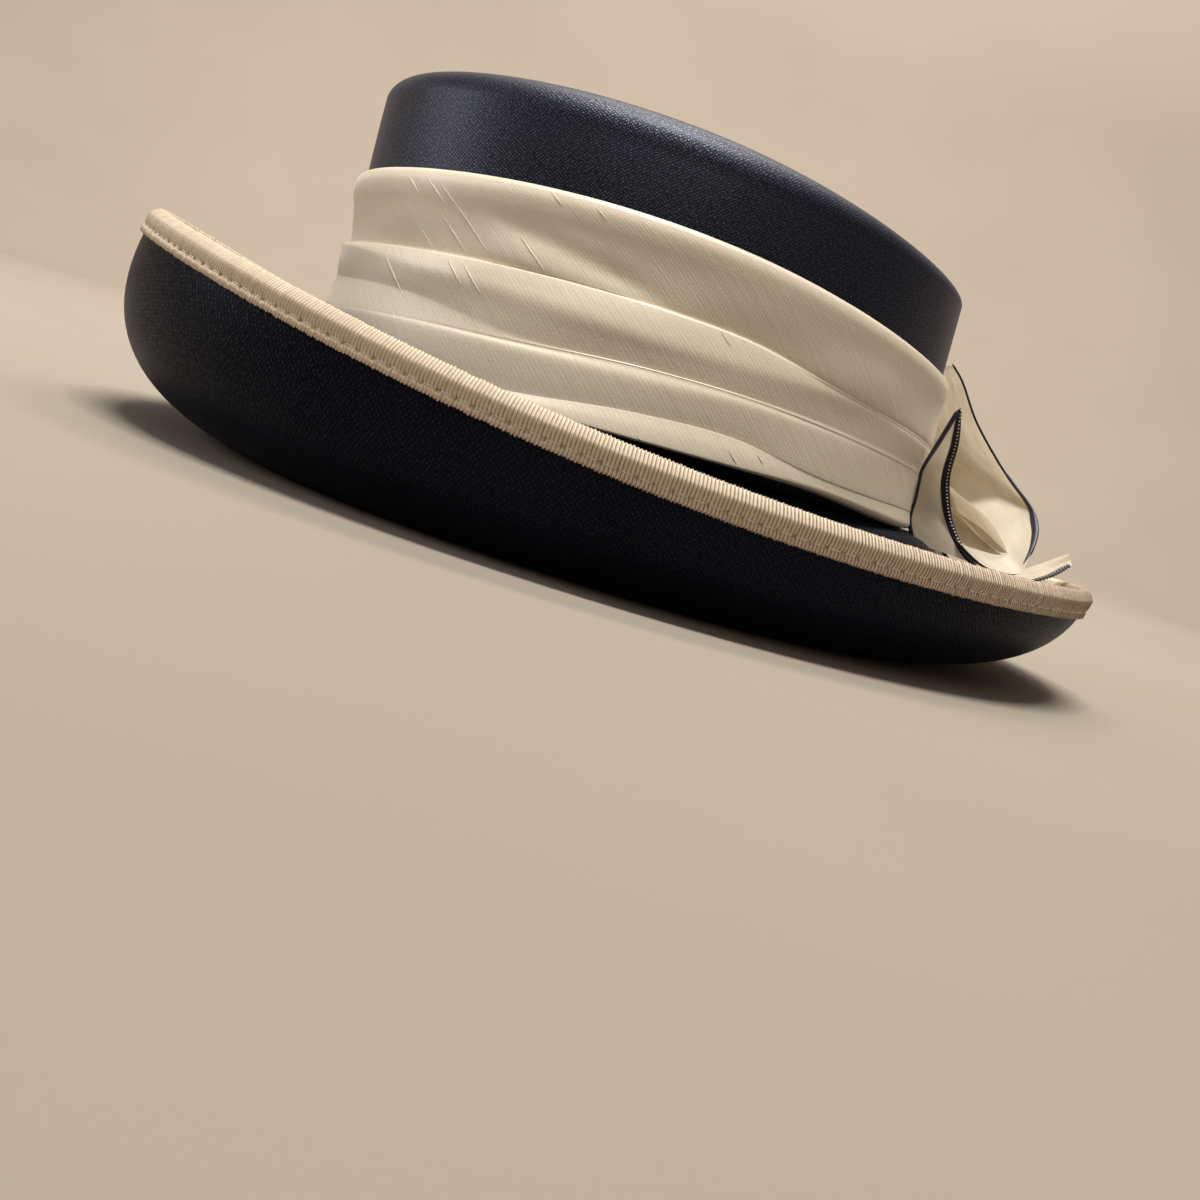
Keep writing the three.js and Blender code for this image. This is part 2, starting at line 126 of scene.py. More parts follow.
# Round the back the ribs are worn flatter: from and to which degrees from the front, and by what share.
RIB_WORN_FROM = 115
RIB_WORN_TO = 150
RIB_WORN_SHARE = 0.5
# How much of the brim's edge stays short of the rim inside the ribbon.
BRIM_HIDDEN = 3.4
# The stitches that hold the ribbon, and the dents that they pull into it.
STITCH_DOWN = 6.7
STITCH_OFF = 0.85
STITCH_PITCH = 4.8
STITCH_LENGTH = 4.0
STITCH_RADIUS = 0.2
STITCH_HOLE = 0.55
STITCH_DENT = 0.8
SEAM_HALF_WIDTH = 0.5

# The draped band at places round the hat, in degrees from the front: the heights of its lines as fractions
# of the crown behind it, then how far each of them stands off the crown. A fold is the upper edge of a
# pleat, its belly is where the pleat swells most, and the valley is where the middle pleat starts.
BandStation = namedtuple(
    "BandStation",
    "turn top upper_fold upper_belly valley middle_fold middle_belly low_fold low_belly edge "
    "roll_out panel_out foot_out upper_fold_out upper_belly_out valley_out middle_fold_out "
    "middle_belly_out low_fold_out low_belly_out",
)
BAND_STATIONS = [
    BandStation(0, 0.975, 0.575, 0.54, 0.38, 0.22, 0.18, 0.02, -0.005, -0.02,
                3.3, 1.9, 0.6, 2.8, 3.0, 2.1, 4.3, 4.5, 5.2, 5.8),
    BandStation(20, 0.974, 0.556, 0.52, 0.355, 0.212, 0.18, 0.02, -0.015, -0.03,
                2.8, 1.7, 0.7, 2.8, 3.4, 3.2, 5.0, 5.3, 6.0, 6.8),
    BandStation(45, 0.972, 0.534, 0.45, 0.318, 0.204, 0.18, 0.01, -0.02, -0.034,
                2.6, 1.8, 1.1, 2.6, 4.2, 4.1, 5.5, 5.9, 7.0, 8.6),
    BandStation(70, 0.974, 0.525, 0.4, 0.235, 0.208, 0.18, 0.012, -0.024, -0.036,
                2.4, 1.5, 1.4, 2.4, 4.7, 5.0, 5.4, 6.4, 7.8, 9.4),
    BandStation(90, 0.974, 0.528, 0.386, 0.262, 0.246, 0.205, 0.07, -0.016, -0.03,
                2.3, 1.8, 1.3, 2.1, 4.6, 4.75, 5.1, 6.2, 7.4, 9.8),
    BandStation(105, 0.972, 0.534, 0.41, 0.288, 0.27, 0.24, 0.094, -0.004, -0.02,
                2.25, 1.9, 1.5, 2.1, 3.9, 4.1, 4.45, 5.2, 6.5, 8.9),
    BandStation(121, 0.965, 0.5, 0.45, 0.31, 0.285, 0.26, 0.06, 0.01, -0.013,
                2.3, 2.1, 2.2, 2.3, 2.7, 3.05, 3.3, 3.7, 5.4, 6.2),
    BandStation(150, 0.96, 0.5, 0.46, 0.33, 0.3, 0.27, 0.06, -0.015, -0.05,
                2.6, 2.6, 3.0, 3.2, 3.4, 3.6, 3.75, 3.9, 5.2, 6.2),
    BandStation(180, 0.985, 0.5, 0.46, 0.33, 0.3, 0.27, 0.06, 0.01, -0.01,
                3.2, 2.6, 3.0, 3.2, 3.3, 3.3, 3.3, 3.2, 1.9, 1.6),
]
BAND_WIDTH = 57.0
BAND_COLUMNS = 600
BAND_ROWS_PER_LINE = 6
LINING_OUT = 0.35
LINING_LINES = 5
# The pleats are crisp round the front and soft round the back, in degrees from the front.
PLEATS_CRISP_TO = 105
PLEATS_SOFT_FROM = 121
# The slight unevenness of hand-draped cloth: how deep each wave is, how often it comes round the hat, how
# much it leans with the height, and where it starts.
DrapeWave = namedtuple("DrapeWave", "depth count lean start")
DRAPE_WAVES = [DrapeWave(0.16, 5, 9, 0.0), DrapeWave(0.12, 11, -14, 1.3)]
# The slanting crease in the upper panel: the degrees from the front over which it comes in and goes out,
# its height at one of them and its fall for each further degree, how far the cloth below it leans out and
# over what height, and how deep and wide its groove is.
CREASE_IN = (54, 68)
CREASE_OUT = (94, 80)
CREASE_TURN = 64
CREASE_HEIGHT = 0.73
CREASE_FALL = 0.0065
CREASE_LEAN = 0.9
CREASE_LEAN_HEIGHT = 0.16
CREASE_GROOVE = 0.5
CREASE_GROOVE_WIDTH = 0.045

# Thick places in the band's yarn: degrees round from the front, height, and length along the bias.
Slub = namedtuple("Slub", "turn height length")
SLUBS = [
    Slub(45, 0.93, 33.0),
    Slub(43, 0.92, 14.0),
    Slub(38, 0.92, 8.0),
    Slub(48, 0.73, 16.0),
    Slub(44, 0.64, 8.0),
    Slub(64, 0.69, 14.0),
    Slub(67, 0.96, 6.5),
    Slub(37, 0.5, 18.0),
    Slub(52, 0.52, 11.0),
    Slub(55, 0.52, 13.0),
    Slub(75, 0.93, 5.0),
    Slub(99, 0.53, 5.0),
    Slub(91, 0.0, 3.0),
    Slub(105, 0.05, 4.0),
    Slub(110, 0.07, 3.0),
]
SLUB_LEAN = math.radians(49)
SLUB_RADIUS = 0.2

# The bow's ribbons seen from the side: x and z along each, y of its near and far edges, and how far its
# middle stands behind its edges, where it lies against the round of the crown.
BowRow = namedtuple("BowRow", "x z near far middle")
BOW_LOOP = [
    BowRow(98.6, 93.5, -10.0, 20.0, 2.6),
    BowRow(104.4, 88.6, -9.0, 22.0, 2.0),
    BowRow(113.2, 77.9, -8.0, 24.0, 1.4),
    BowRow(124.6, 67.2, -9.0, 26.0, 0.8),
    BowRow(131.0, 61.8, -12.0, 28.0, 0.4),
    BowRow(138.0, 55.6, -18.0, 29.0, 0.0),
    BowRow(139.6, 49.2, -26.0, 29.0, 0.0),
    BowRow(137.3, 41.0, -34.0, 29.0, 0.0),
    BowRow(134.2, 35.0, -39.0, 28.0, 0.0),
    BowRow(127.6, 33.6, -40.0, 26.0, 0.0),
    BowRow(121.0, 34.4, -38.0, 23.0, 0.8),
    BowRow(110.6, 40.4, -32.0, 20.0, 1.6),
    BowRow(101.6, 46.5, -20.0, 18.0, 2.4),
]
BOW_INNER_LOOP = [
    BowRow(101.6, 60.0, -16.0, 16.0, 2.4),
    BowRow(110.0, 54.0, -21.0, 18.0, 1.6),
    BowRow(121.5, 49.0, -25.0, 20.0, 0.8),
    BowRow(129.0, 43.0, -27.0, 21.0, 0.0),
    BowRow(132.0, 38.6, -28.0, 21.0, 0.0),
    BowRow(126.0, 40.0, -27.0, 20.0, 0.4),
    BowRow(118.0, 44.4, -25.0, 18.0, 0.8),
    BowRow(110.0, 49.0, -21.0, 17.0, 1.6),
    BowRow(101.6, 53.5, -16.0, 16.0, 2.0),
]
BOW_TAIL_BACK = [
    BowRow(101.8, 40.4, -12.0, 12.0, 0.9),
    BowRow(111.0, 36.6, -13.0, 15.0, 0.5),
    BowRow(123.0, 28.5, -14.0, 18.0, 0.0),
    BowRow(136.0, 26.0, -13.0, 20.0, 0.0),
    BowRow(148.0, 32.0, -9.0, 13.0, 0.0),
    BowRow(155.5, 36.8, -8.0, 8.0, 0.0),
    BowRow(161.0, 42.0, -6.0, 1.0, 0.0),
]
# The near tail is a pointed leaf that stands against the band: both of its edges, from foot to tip.
LeafRow = namedtuple("LeafRow", "left_x left_y left_z right_x right_y right_z")
BOW_LEAF = [
    LeafRow(97.8, -39.4, 34.4, 122.8, -31.0, 33.2),
    LeafRow(94.6, -40.0, 40.6, 115.5, -32.0, 37.9),
    LeafRow(94.2, -40.6, 47.2, 109.6, -33.0, 44.5),
    LeafRow(93.4, -41.0, 53.2, 105.1, -34.5, 53.2),
    LeafRow(93.0, -41.5, 57.5, 103.2, -36.0, 59.4),
    LeafRow(95.0, -42.0, 67.0, 101.8, -39.0, 68.5),
    LeafRow(97.4, -42.0, 77.8, 98.6, -41.0, 78.8),
]
LEAF_HOLLOW = 3.2
# Where across a loop its far edge starts to be drawn in, as a share of its width.
PETAL_START = -0.2
# The narrow binding of the bow's edges, and how far it shifts where it turns under the ribbon.
EDGING_HALF_THICKNESS = 0.55
EDGING_OVERHANG = 0.3
EDGING_TUCK_IN = 1.2
EDGING_TUCK_UNDER = 0.5
# The small stitches along that binding.
DOT_PITCH = 1.15
DOT_RADIUS = 0.36
DOT_HALF_LENGTH = 0.3
DOT_INSET = 0.55
DOT_LIFT = 0.6

# The studio cove in metres: the reach of its level floor, the radius of its bend and its height.
COVE_FLOOR = 1.4
COVE_BEND = 0.7
COVE_TOP = 2.6

# The lamps in metres and watts, with the place that each one stands at and the place that it points to.
Lamp = namedtuple("Lamp", "name watts colour width depth place aim")
LAMPS = [
    Lamp("overhead_lamp", 33.5, "#fffcf8", 0.7, 0.14, (-0.12, -0.22, 1.58), (-0.12, 0, 0.06)),
    Lamp("front_lamp", 3.3, "#f8f8ff", 0.25, 0.45, (-1.1, -0.08, 0.4), (-0.07, -0.05, 0.1)),
    Lamp("fill_lamp", 4.0, "#fffaf2", 1.6, 1.6, (-0.3, -1.5, 1.2), (0, 0, 0.06)),
    Lamp("cove_lamp", 55.0, "#fffaf2", 1.2, 1.2, (0, 0.9, 1.7), (0, 2.1, 0.4)),
]
ROOM_COLOUR = "#fffdfb"
ROOM_STRENGTH = 0.3

# The camera: where it stands, which way it looks and how far it is rolled.
CAMERA_PLACE = Vector((-17.5, -511.2, 49.2)) * MM
CAMERA_YAW, CAMERA_PITCH, CAMERA_ROLL = map(math.radians, (3.22, -7.46, 17.43))
CAMERA_SENSOR = 36.0
CAMERA_LENS = 45.0


def blend_round(front, side, back, angle):
    """Blends a value at the front, the sides and the back round the hat: 0 is the back, pi the front."""
    c = np.cos(angle)
    return front * c * (c - 1) / 2 + side * (1 - c * c) + back * c * (c + 1) / 2


def smooth_step(value, low, high):
    """A soft step from 0 at low to 1 at high; low may be the larger of the two."""
    share = np.clip((value - low) / (high - low), 0.0, 1.0)
    return share * share * (3 - 2 * share)


def turn_of(angle):
    """Degrees round from the front, the same on both sides."""
    return np.degrees(np.abs(np.mod(angle, 2 * np.pi) - np.pi))


def ring_point(ring, angle):
    """Places on a ring at angles round the hat."""
    c = np.cos(angle)
    s = np.sin(angle)
    height = blend_round(ring.z_front, ring.z_side, ring.z_back, angle) - ring.roll * s
    return np.stack([np.where(c < 0, ring.front, ring.back) * c, ring.side * s, height], axis=-1)


def crown_wall(up, angle):
    """The crown's wall: 0 is its lower edge and 1 the start of its rounded shoulder."""
    m = BAND_TOP_ON_WALL
    up = up[:, None]
    low = ring_point(CROWN_LOWER_EDGE, angle) * (up - m) * (up - 1) / m
    middle = ring_point(CROWN_BAND_TOP, angle) * up * (up - 1) / (m * (m - 1))
    high = ring_point(CROWN_SHOULDER, angle) * up * (up - m) / (1 - m)
    return low + middle + high


def crown_shoulder(turn, angle):
    """The rounded shoulder, a quarter ellipse that leaves the wall upwards and meets the top level."""
    wall = ring_point(CROWN_SHOULDER, angle)
    top = ring_point(CROWN_TOP_EDGE, angle)
    inward = 1 - np.cos(turn * np.pi / 2)
    upward = np.sin(turn * np.pi / 2)
    return wall + (top - wall) * np.stack([inward, inward, upward], axis=-1)


def crown_top(inward, angle):
    """The gently domed top, from its edge (0) to its centre (1)."""
    outward = (1 - inward)[:, None]
    share = np.concatenate([outward, outward, outward ** 2], axis=1)
    return CROWN_TOP_CENTRE + (ring_point(CROWN_TOP_EDGE, angle) - CROWN_TOP_CENTRE) * share


def brim_roll(angle):
    """The ease of the brim's roll outside the head opening, which is broader and higher round the back."""
    ease = ring_point(BRIM_HEAD_EASE, angle)
    share = smooth_step(turn_of(angle), ROLL_BROAD_FROM, ROLL_BROAD_TO)[:, None]
    broader = ease * [1.0, 1.0, 0.0] * (ROLL_BROADER * share / ROLL_REACH)
    return ease + broader + share * [0.0, 0.0, ROLL_RISE]


def brim_surface(along, angle):
    """The brim's outer face: dip (0 to 1), flat standing ring (1 to 2) and curl up to the rim (2 to 3)."""
    foot_inner = ring_point(BRIM_FOOT_INNER, angle)
    foot_outer = ring_point(BRIM_FOOT_OUTER, angle)
    a = np.clip(along, 0, 1)[:, None]
    dip = ring_point(BRIM_HEAD_EDGE, angle) * (1 - a) ** 3
    dip += brim_roll(angle) * 3 * a * (1 - a) ** 2
    dip += ring_point(BRIM_FOOT_EASE, angle) * 3 * a ** 2 * (1 - a)
    dip += foot_inner * a ** 3
    b = np.clip(along - 1, 0, 1)[:, None]
    c = np.clip(along - 2, 0, 1)[:, None]
    curl = foot_outer * (1 - c) ** 2 + ring_point(BRIM_CURL_EASE, angle) * 2 * c * (1 - c)
    curl += ring_point(BRIM_RIM, angle) * c ** 2
    flat = foot_inner + (foot_outer - foot_inner) * b
    along = along[:, None]
    return np.where(along <= 1, dip, np.where(along <= 2, flat, curl))


def unit(vectors):
    return vectors / np.linalg.norm(vectors, axis=-1, keepdims=True)


def surface_normal(surface, a, b, low, high):
    """The unit normal of a surface by small differences."""
    step = 1e-3
    along_a = surface(np.clip(a + step, low, high), b) - surface(np.clip(a - step, low, high), b)
    along_b = surface(a, b + step) - surface(a, b - step)
    return unit(np.cross(along_b, along_a))


def smooth_curve(a, b, c, d, t):
    """A smooth curve from b to c, with a before them and d after them."""
    bend = (2 * a - 5 * b + 4 * c - d) * t ** 2 + (3 * b - a - 3 * c + d) * t ** 3
    return b + (c - a) * t / 2 + bend / 2


def smooth_rows(rows, along):
    """Reads a table at places from 0 to 1 along it, on a smooth curve through every row."""
    rows = np.array(rows, float)
    padded = np.vstack([2 * rows[0] - rows[1], rows, 2 * rows[-1] - rows[-2]])
    place = np.clip(along, 0, 1) * (len(rows) - 1)
    first = np.minimum(place.astype(int), len(rows) - 2)
    return smooth_curve(*(padded[first + k] for k in range(4)), (place - first)[:, None])


def lay_grid(bm, surface, columns, rows, unroll):
    """Lays a grid of cloth on a surface of (u, v), both 0 to 1, with its flat millimetres as its UV map."""
    cloth = bm.loops.layers.uv.get("cloth") or bm.loops.layers.uv.new("cloth")
    laid = bmesh.ops.create_grid(bm, x_segments=columns, y_segments=rows, size=0.5)["verts"]
    u, v = np.array([vert.co.to_2d() for vert in laid]).T + 0.5
    flat = {vert: uv for vert, uv in zip(laid, np.stack(unroll(u, v), axis=-1))}
    for vert, place in zip(laid, surface(u, v) * MM):
        vert.co = place
    for face in {face for vert in laid for face in vert.link_faces}:
        for loop in face.loops:
            loop[cloth].uv = flat[loop.vert]


def lay_thread(bm, middles, first, second, columns, sides, blunt=0.25):
    """Lays a thread along a line of places, with two half-axes across it, rounded off at both ends."""
    length = np.linalg.norm(np.diff(middles, axis=0), axis=1).sum()

    def surface(u, v):
        ends = np.sqrt(np.clip(np.minimum(u, 1 - u) / blunt, 0.0, 1.0))[:, None]
        middle, one, two = (smooth_rows(rows, u) for rows in (middles, first, second))
        turn = 2 * np.pi * v[:, None]
        return middle + ends * (one * np.cos(turn) + two * np.sin(turn))

    girth = np.pi * (np.linalg.norm(first, axis=1).mean() + np.linalg.norm(second, axis=1).mean())
    lay_grid(bm, surface, columns, sides, lambda u, v: (u * length, v * girth))


def close_seams(bm):
    """Joins a mesh's seams and poles, and turns its faces outwards."""
    bmesh.ops.remove_doubles(bm, verts=bm.verts, dist=MERGE)
    bmesh.ops.recalc_face_normals(bm, faces=bm.faces)


def new_object(name, bm, material):
    """Puts a finished mesh into the scene, smooth and in one material."""
    for face in bm.faces:
        face.smooth = True
    mesh = bpy.data.meshes.new(name)
    bm.to_mesh(mesh)
    bm.free()
    mesh.materials.append(material)
    made = bpy.data.objects.new(name, mesh)
    bpy.context.scene.collection.objects.link(made)
    return made


def make_piece(name, bm, material, slot, *nodes):
    """Makes a piece of the hat from a mesh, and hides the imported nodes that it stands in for."""
    close_seams(bm)
    piece = new_object(name, bm, material)
    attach(piece, "root")
    if nodes:
        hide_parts(*nodes)
    return piece


def give_wall(piece, thickness):
    """Gives a skin its thickness, all of it inside."""
    wall = piece.modifiers.new("wall", "SOLIDIFY")
    wall.thickness = thickness * MM
    wall.offset = -1.0


def linear(hex_colour):
    """An sRGB hex colour as linear red, green, blue and alpha."""
    parts = [int(hex_colour[i : i + 2], 16) / 255 for i in (1, 3, 5)]
    return [c / 12.92 if c <= 0.04045 else ((c + 0.055) / 1.055) ** 2.4 for c in parts] + [1.0]


def node(tree, kind, inputs=None, **settings):
    """Adds a node with its settings; an input takes a value, or a node whose first output feeds it."""
    made = tree.nodes.new(kind)
    for name, value in settings.items():
        setattr(made, name, value)
    for socket, value in (inputs or {}).items():
        if isinstance(value, bpy.types.Node):
            tree.links.new(value.outputs[0], made.inputs[socket])
        else:
            made.inputs[socket].default_value = value
    return made


# A wave texture of scale 1 repeats after this many units.
WAVE_PERIOD = math.pi / 10


def waves(tree, place, pitch, direction, **inputs):
    """Bands across the cloth that repeat after a pitch in millimetres."""
    named = {name.replace("_", " "): value for name, value in inputs.items()}
    return node(tree, "ShaderNodeTexWave", {"Vector": place, "Scale": WAVE_PERIOD / pitch, **named},
                bands_direction=direction)


def ramp(tree, level, low, high, start=0.0, end=1.0):
    """Blends from one colour to another as a level goes from start to end."""
    blend = node(tree, "ShaderNodeValToRGB", {"Fac": level})
    for stop, position, colour in zip(blend.color_ramp.elements, (start, end), (low, high)):
        stop.position = position
        stop.color = linear(colour)
    return blend


def new_material(name):
    """A new material with its node tree and its shader."""
    material = bpy.data.materials.new(name)
    material.use_nodes = True
    return material, material.node_tree, material.node_tree.nodes["Principled BSDF"]


def finish_material(tree, shader, colour, normal, **values):
    """Links colour and bump to the shader and sets its other values."""
    tree.links.new(colour.outputs[0], shader.inputs["Base Color"])
    tree.links.new(normal.outputs[0], shader.inputs["Normal"])
    for name, value in values.items():
        shader.inputs[name.replace("_", " ")].default_value = value


def navy_satin(name, gloss):
    """Stiffened satin-woven cloth: nearly black navy, with a blue-grey gleam under raking light that breaks
    up into small bright grains of thread."""
    material, tree, shader = new_material(name)
    thread = 0.9  # real threads are about 0.4 mm; drawn coarser so that the grain shows
    cloth = node(tree, "ShaderNodeUVMap", uv_map="cloth")
    bias = node(tree, "ShaderNodeMapping", {"Vector": cloth, "Rotation": (0, 0, math.radians(38))})
    warp, weft = (waves(tree, bias, thread, direction, Distortion=3.2, Detail=1.0, Detail_Scale=1.6)
                  for direction in "XY")
    grain = node(tree, "ShaderNodeMath", {0: warp, 1: weft}, operation="MULTIPLY")
    uneven = node(tree, "ShaderNodeTexNoise", {"Vector": cloth, "Scale": 1.1, "Detail": 3.0,
                  "Roughness": 0.8})
    lively = node(tree, "ShaderNodeMapRange", {"Value": uneven, "From Min": 0.42, "From Max": 0.62})
    bright = node(tree, "ShaderNodeMath", {0: grain, 1: lively}, operation="MULTIPLY")
    bump = node(tree, "ShaderNodeBump", {"Height": bright, "Strength": 0.15 + 0.5 * gloss,
                "Distance": 0.13 * MM})
    glint = node(tree, "ShaderNodeMapRange", {"Value": bright, "From Max": 0.7, "To Min": 0.35 * gloss,
                 "To Max": 3.6 * gloss})
    tree.links.new(glint.outputs[0], shader.inputs["Specular IOR Level"])
    patch = node(tree, "ShaderNodeTexNoise", {"Vector": cloth, "Scale": 0.02, "Detail": 2.0})
    colour = ramp(tree, patch, "#0c0d16", "#131520", 0.35, 0.7)
    finish_material(tree, shader, colour, bump, Roughness=0.42, Specular_Tint=linear("#dee4ff"),
                    Sheen_Weight=0.25 * gloss, Sheen_Roughness=0.5, Sheen_Tint=linear("#7880a0"))
    return material


def cream_shantung():
    """Cream silk shantung cut on the bias: a soft satin gleam, fine cross ribs and thick slubs of yarn
    that lean across the band."""
    material, tree, shader = new_material("cream_silk_shantung")
    rib = 0.95  # real ribs are about 0.4 mm; drawn coarser so that they show
    cloth = node(tree, "ShaderNodeUVMap", uv_map="cloth")
    bias = node(tree, "ShaderNodeMapping", {"Vector": cloth, "Rotation": (0, 0, -SLUB_LEAN)})
    ribs = waves(tree, bias, rib, "X", Distortion=1.2, Detail=3.0, Detail_Scale=0.6)
    drawn = node(tree, "ShaderNodeMapping", {"Vector": bias, "Scale": (1.0, 0.035, 1.0)})
    slubs = node(tree, "ShaderNodeTexNoise", {"Vector": drawn, "Scale": 0.75, "Detail": 5.0,
                 "Roughness": 0.6})
    grain = node(tree, "ShaderNodeTexNoise", {"Vector": cloth, "Scale": 1.6, "Detail": 2.0})
    cloth_height = node(tree, "ShaderNodeMath", {0: ribs, 1: 0.18, 2: slubs}, operation="MULTIPLY_ADD")
    height = node(tree, "ShaderNodeMath", {0: grain, 1: 0.8, 2: cloth_height}, operation="MULTIPLY_ADD")
    bump = node(tree, "ShaderNodeBump", {"Height": height, "Strength": 0.3, "Distance": 0.2 * MM})
    colour = ramp(tree, slubs, "#e0d4bd", "#e8ddc7", 0.3, 0.72)
    finish_material(tree, shader, colour, bump, Roughness=0.42, IOR=1.5, Sheen_Weight=0.25,
                    Sheen_Roughness=0.35, Sheen_Tint=linear("#fff4e0"))
    return material


def cream_bow_ribbon():
    """Thin cream satin ribbon: smooth and softly shiny, and light that falls on it glows through."""
    material, tree, shader = new_material("cream_satin_ribbon")
    thread = 0.6  # real threads are about 0.2 mm; drawn coarser so that they show
    cloth = node(tree, "ShaderNodeUVMap", uv_map="cloth")
    threads = waves(tree, cloth, thread, "Y", Distortion=1.0, Detail=2.0)
    bump = node(tree, "ShaderNodeBump", {"Height": threads, "Strength": 0.12, "Distance": 0.1 * MM})
    tone = node(tree, "ShaderNodeTexNoise", {"Vector": cloth, "Scale": 0.15, "Detail": 3.0})
    colour = ramp(tree, tone, "#ddd0b8", "#eae0cb", 0.3, 0.7)
    finish_material(tree, shader, colour, bump, Roughness=0.35, IOR=1.5)
    glow = node(tree, "ShaderNodeBsdfTranslucent", {"Color": colour})
    both = node(tree, "ShaderNodeMixShader", {"Fac": 0.36, 1: shader, 2: glow})
    tree.links.new(both.outputs[0], tree.nodes["Material Output"].inputs["Surface"])
    return material


def cream_grosgrain():
    """Cream grosgrain ribbon: matt rounded ribs, with painted shade in the grooves between them."""
    material, tree, shader = new_material("cream_grosgrain_ribbon")
    cloth = node(tree, "ShaderNodeUVMap", uv_map="cloth")
    ribs = waves(tree, cloth, RIB_PITCH, "X", Phase_Offset=math.pi / 2)
    worn = node(tree, "ShaderNodeTexNoise", {"Vector": cloth, "Scale": 0.8, "Detail": 3.0})
    bump = node(tree, "ShaderNodeBump", {"Height": worn, "Strength": 0.3, "Distance": 0.15 * MM})
    # Painted shade: the colour darkens towards brown in the grooves between the ribs, in step with the ribs
    # of the geometry; the noise adds uneven patches of tone.
    shade = node(tree, "ShaderNodeMath", {0: worn, 1: 0.4, 2: ribs}, operation="MULTIPLY_ADD")
    colour = ramp(tree, shade, "#7e6a55", "#dbcbb3", 0.2, 0.65)
    finish_material(tree, shader, colour, bump, Roughness=0.7, IOR=1.45)
    return material


def navy_edging():
    """Narrow navy satin binding: as dark as the cloth of the hat, with a thin lengthwise gleam."""
    material, tree, shader = new_material("navy_satin_edging")
    thread = 0.5  # real threads are about 0.2 mm; drawn coarser so that they show
    cloth = node(tree, "ShaderNodeUVMap", uv_map="cloth")
    threads = waves(tree, cloth, thread, "X", Distortion=1.0, Detail=2.0)
    bump = node(tree, "ShaderNodeBump", {"Height": threads, "Strength": 0.4, "Distance": 0.12 * MM})
    patch = node(tree, "ShaderNodeTexNoise", {"Vector": cloth, "Scale": 0.3, "Detail": 3.0})
    colour = ramp(tree, patch, "#0e0f1e", "#1a1d34")
    finish_material(tree, shader, colour, bump, Roughness=0.38, IOR=1.5, Sheen_Weight=0.2,
                    Sheen_Roughness=0.4, Sheen_Tint=linear("#9aa0c4"))
    return material


def cream_thread():
    """Cream sewing thread: pale and slightly shiny, twisted from two plies."""
    material, tree, shader = new_material("cream_sewing_thread")
    ply = 0.35
    cloth = node(tree, "ShaderNodeUVMap", uv_map="cloth")
    lean = node(tree, "ShaderNodeMapping", {"Vector": cloth, "Rotation": (0, 0, math.radians(40))})
    plies = waves(tree, lean, ply, "X")
    bump = node(tree, "ShaderNodeBump", {"Height": plies, "Strength": 0.5, "Distance": 0.06 * MM})
    colour = ramp(tree, plies, "#d9cdb6", "#f3ecdd")
    finish_material(tree, shader, colour, bump, Roughness=0.55, IOR=1.5)
    return material


def pale_floor():
    """A matt painted studio cove, pale and warm, with a barely uneven tone."""
    material, tree, shader = new_material("pale_matt_paint")
    place = node(tree, "ShaderNodeTexCoord")
    tone = node(tree, "ShaderNodeTexNoise", {"Scale": 6.0, "Detail": 1.0})
    tree.links.new(place.outputs["Object"], tone.inputs["Vector"])
    colour = ramp(tree, tone, "#90867a", "#968c80")
    tree.links.new(colour.outputs[0], shader.inputs["Base Color"])
    shader.inputs["Roughness"].default_value = 0.9
    shader.inputs["Specular IOR Level"].default_value = 0.2
    return material


def angle_of(u):
    """The angle round the hat of a share from 0 to 1 of a full turn."""
    return 2 * np.pi * u


def make_crown(material):
    """The blocked crown: one skin from its hidden lower edge over the shoulder to the middle of the top."""
    bm = bmesh.new()
    lay_grid(bm, lambda u, v: crown_wall(v, angle_of(u)), CROWN_COLUMNS, 24,
             lambda u, v: (u * CROWN_GIRTH, v * CROWN_WALL_LENGTH))
    lay_grid(bm, lambda u, v: crown_shoulder(v, angle_of(u)), CROWN_COLUMNS, 16,
             lambda u, v: (u * CROWN_GIRTH, CROWN_WALL_LENGTH + v * CROWN_SHOULDER_LENGTH))

    def top_plan(u, v):
        place = crown_top(v, angle_of(u))
        return place[:, 0], place[:, 1]

    lay_grid(bm, lambda u, v: crown_top(v, angle_of(u)), CROWN_COLUMNS, 24, top_plan)
    crown = make_piece("crown_cloth", bm, material, "navy_cloth", "crown")
    give_wall(crown, CROWN_WALL)


def along_below_rim(distance, angle):
    """How far along the brim's section a place lies that is a given distance down from the rim."""
    rim = ring_point(BRIM_RIM, angle)
    low = np.full_like(angle, CURL_START)
    high = np.full_like(angle, CURL_END)
    for _ in range(24):
        middle = (low + high) / 2
        below = np.linalg.norm(brim_surface(middle, angle) - rim, axis=-1) > distance
        low = np.where(below, middle, low)
        high = np.where(below, high, middle)
    return (low + high) / 2


def make_brim(under, upper):
    """The blocked brim: one skin that dips from the head opening and curls up into the ribbon, with a
    livelier gleam on its upper face."""

    def surface(u, v):
        angle = angle_of(u)
        return brim_surface(v * along_below_rim(np.full_like(u, BRIM_HIDDEN), angle), angle)

    bm = bmesh.new()
    lay_grid(bm, surface, 240, 72, lambda u, v: (u * BRIM_GIRTH, v * BRIM_SECTION_LENGTH))
    brim = make_piece("brim_cloth", bm, under, "navy_cloth", "brim")
    brim.data.materials.append(upper)
    give_wall(brim, BRIM_WALL)
    brim.modifiers["wall"].material_offset = 1


def rim_lengths():
    """Angles round the rim and the length of rim from the back to each of them."""
    angles = np.linspace(0, 2 * np.pi, 4001)
    steps = np.linalg.norm(np.diff(ring_point(BRIM_RIM, angles), axis=0), axis=1)
    return angles, np.concatenate([[0.0], np.cumsum(steps)])


RIM_ANGLES, RIM_LENGTHS = rim_lengths()
RIM_LENGTH = RIM_LENGTHS[-1]


